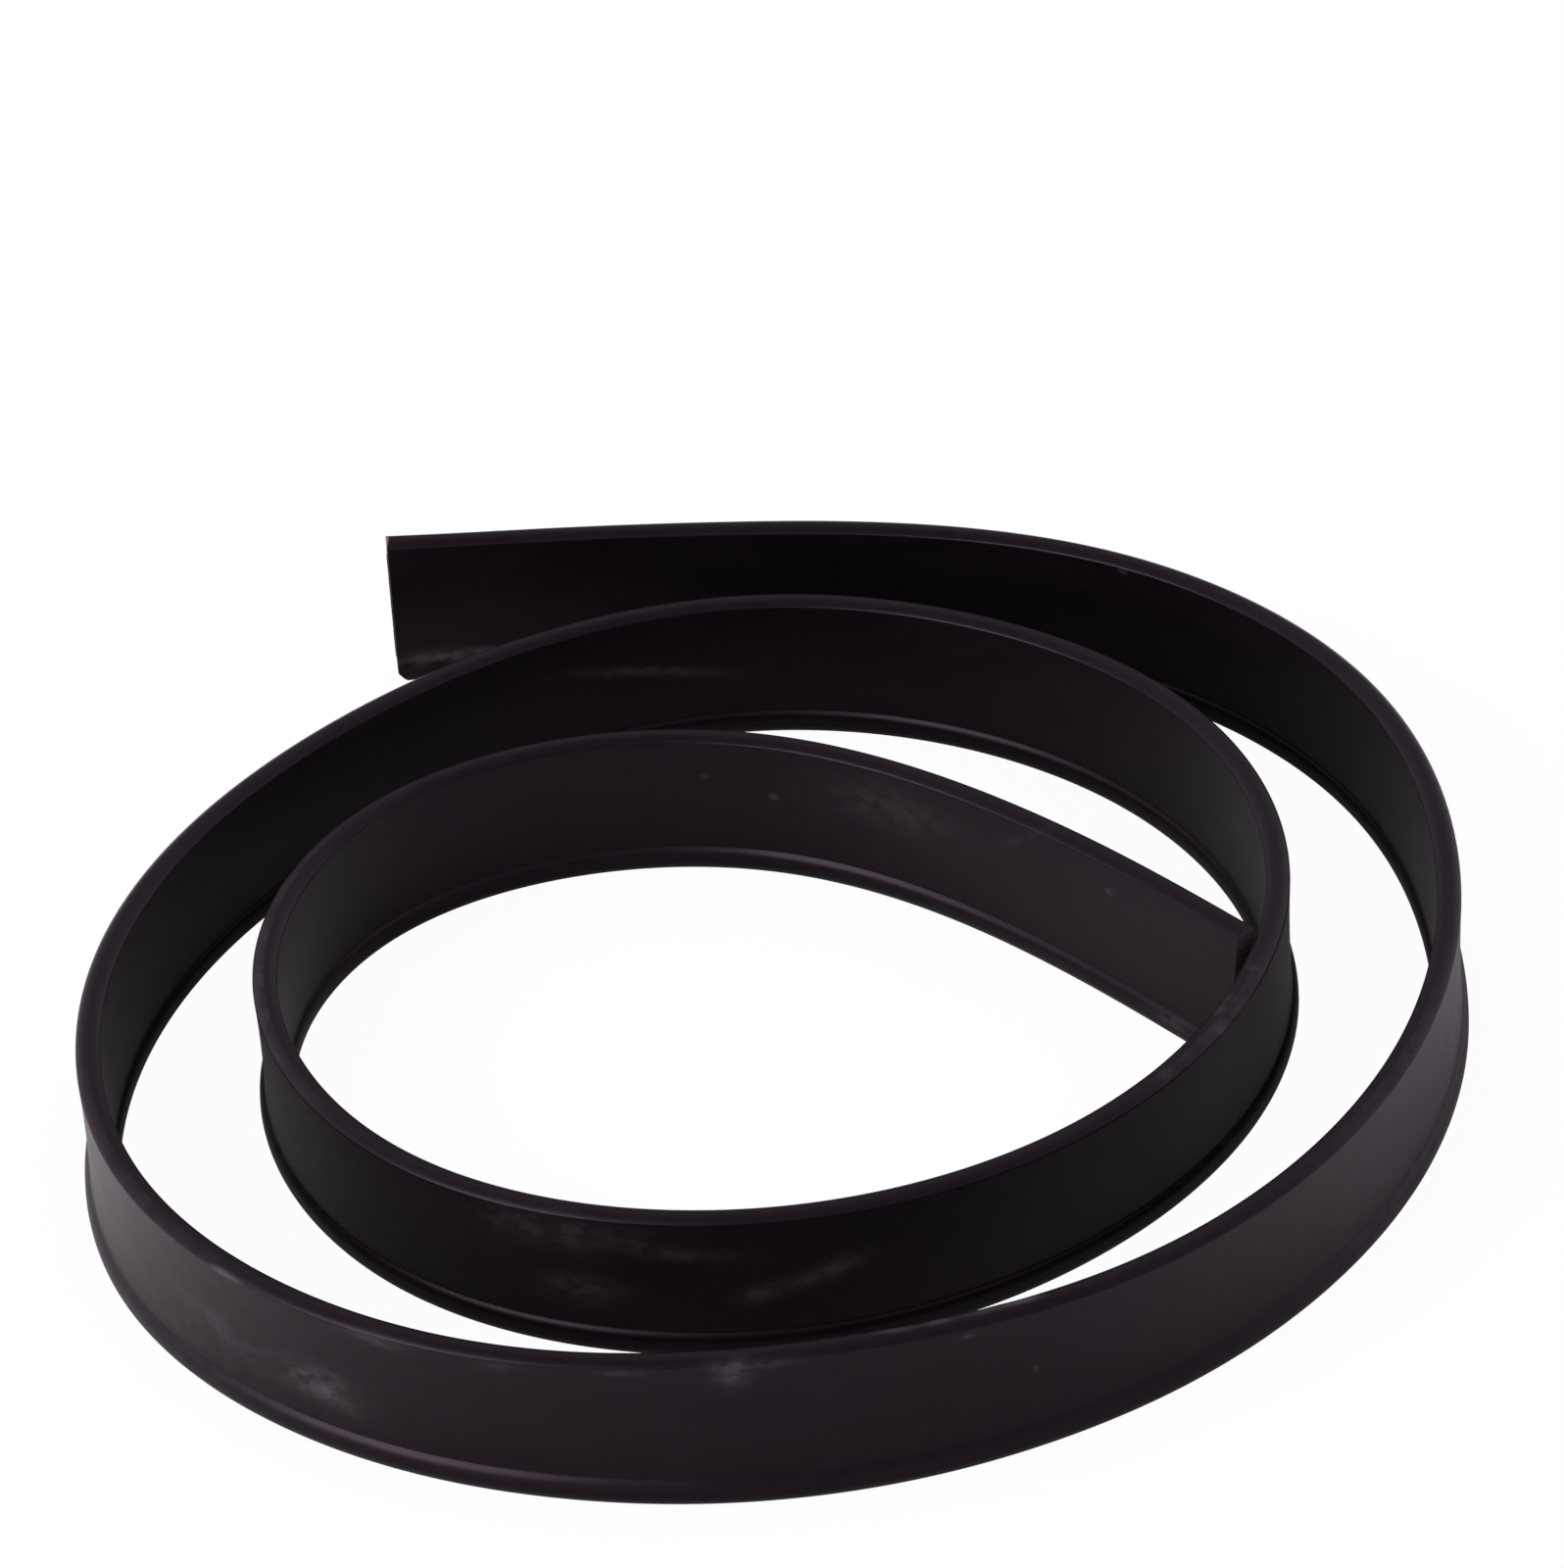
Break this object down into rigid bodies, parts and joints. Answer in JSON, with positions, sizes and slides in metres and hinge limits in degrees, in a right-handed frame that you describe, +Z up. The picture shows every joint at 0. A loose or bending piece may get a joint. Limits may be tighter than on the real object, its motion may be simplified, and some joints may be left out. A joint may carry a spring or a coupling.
{
  "type": "flat drive belt",
  "caption": "Flat rubber drive belt with fabric plies and a round bead along its lower edge, cut open and stood on edge in a loose spiral coil, inner end tucked against the wall.",
  "frame": {"origin": "middle of the coil's overall box, on the flat it stands on", "axes": "+Z up, across the belt's width; +Y to the back, where the free end stands; the belt winds inward clockwise seen from above"},
  "size_m": [0.4166, 0.4418, 0.05],
  "materials": {
    "cover_rubber": "smooth black rubber, satin, dusty and lightly scuffed",
    "skim_rubber": "matt black bonding rubber",
    "ply_fabric": "rubber-soaked woven fabric, matt"
  },
  "bodies": {
    "coil": {"coil_outer_cover": "cover_rubber", "coil_outer_ply": "ply_fabric", "coil_outer_skim": "skim_rubber", "coil_middle_ply": "ply_fabric", "coil_inner_skim": "skim_rubber", "coil_inner_ply": "ply_fabric", "coil_inner_cover": "cover_rubber", "coil_lower_edge": "cover_rubber", "coil_upper_edge": "cover_rubber"},
    "free_end": {"free_end_outer_cover": "cover_rubber", "free_end_outer_ply": "ply_fabric", "free_end_outer_skim": "skim_rubber", "free_end_middle_ply": "ply_fabric", "free_end_inner_skim": "skim_rubber", "free_end_inner_ply": "ply_fabric", "free_end_inner_cover": "cover_rubber", "free_end_lower_edge": "cover_rubber", "free_end_upper_edge": "cover_rubber"},
    "tucked_end": {"tucked_end_outer_cover": "cover_rubber", "tucked_end_outer_ply": "ply_fabric", "tucked_end_outer_skim": "skim_rubber", "tucked_end_middle_ply": "ply_fabric", "tucked_end_inner_skim": "skim_rubber", "tucked_end_inner_ply": "ply_fabric", "tucked_end_inner_cover": "cover_rubber", "tucked_end_lower_edge": "cover_rubber", "tucked_end_upper_edge": "cover_rubber"}
  },
  "joints": [
    {"name": "free_end_flex", "type": "hinge", "parent": "coil", "child": "free_end", "pos_m": [0.00319, 0.21166, 0.025], "axis": [0, 0, -1], "range_deg": [-25, 45], "stiffness_Nm_per_rad": 0.5},
    {"name": "tucked_end_flex", "type": "hinge", "parent": "coil", "child": "tucked_end", "pos_m": [0.03253, 0.07708, 0.025], "axis": [0, 0, -1], "range_deg": [0, 60], "stiffness_Nm_per_rad": 0.5}
  ]
}
